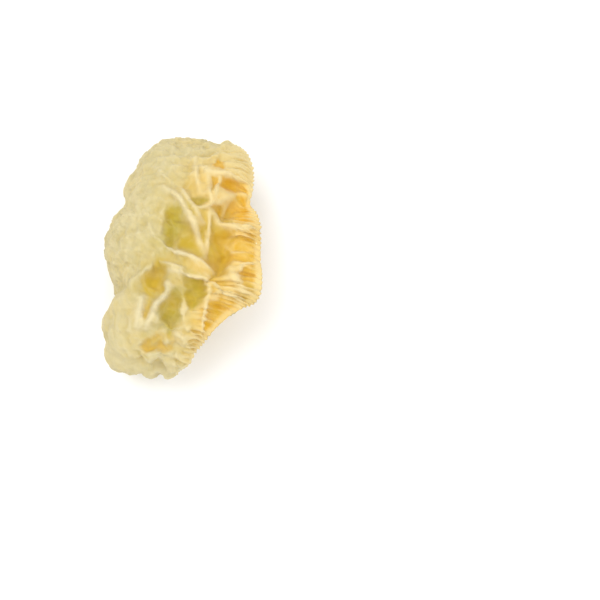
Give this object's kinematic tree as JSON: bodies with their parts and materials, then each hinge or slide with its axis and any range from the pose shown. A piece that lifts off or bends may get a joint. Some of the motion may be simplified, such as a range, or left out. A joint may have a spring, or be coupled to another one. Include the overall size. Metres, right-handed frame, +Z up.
{
  "type": "bouffant cap",
  "caption": "Disposable bouffant cap of thin gathered non-woven cloth with an elastic edge, lying on its side with its opening free.",
  "frame": {"origin": "on the table that the cap lies on, under the middle of its box", "axes": "+X out of the opening, +Y along the opening's long way, +Z up from the table"},
  "size_m": [0.1646, 0.257, 0.1173],
  "materials": {
    "nonwoven": "matt, sheer, point-bonded",
    "elastic": "matt"
  },
  "bodies": {
    "root": {"crown": "nonwoven", "elastic": "elastic"}
  },
  "joints": []
}
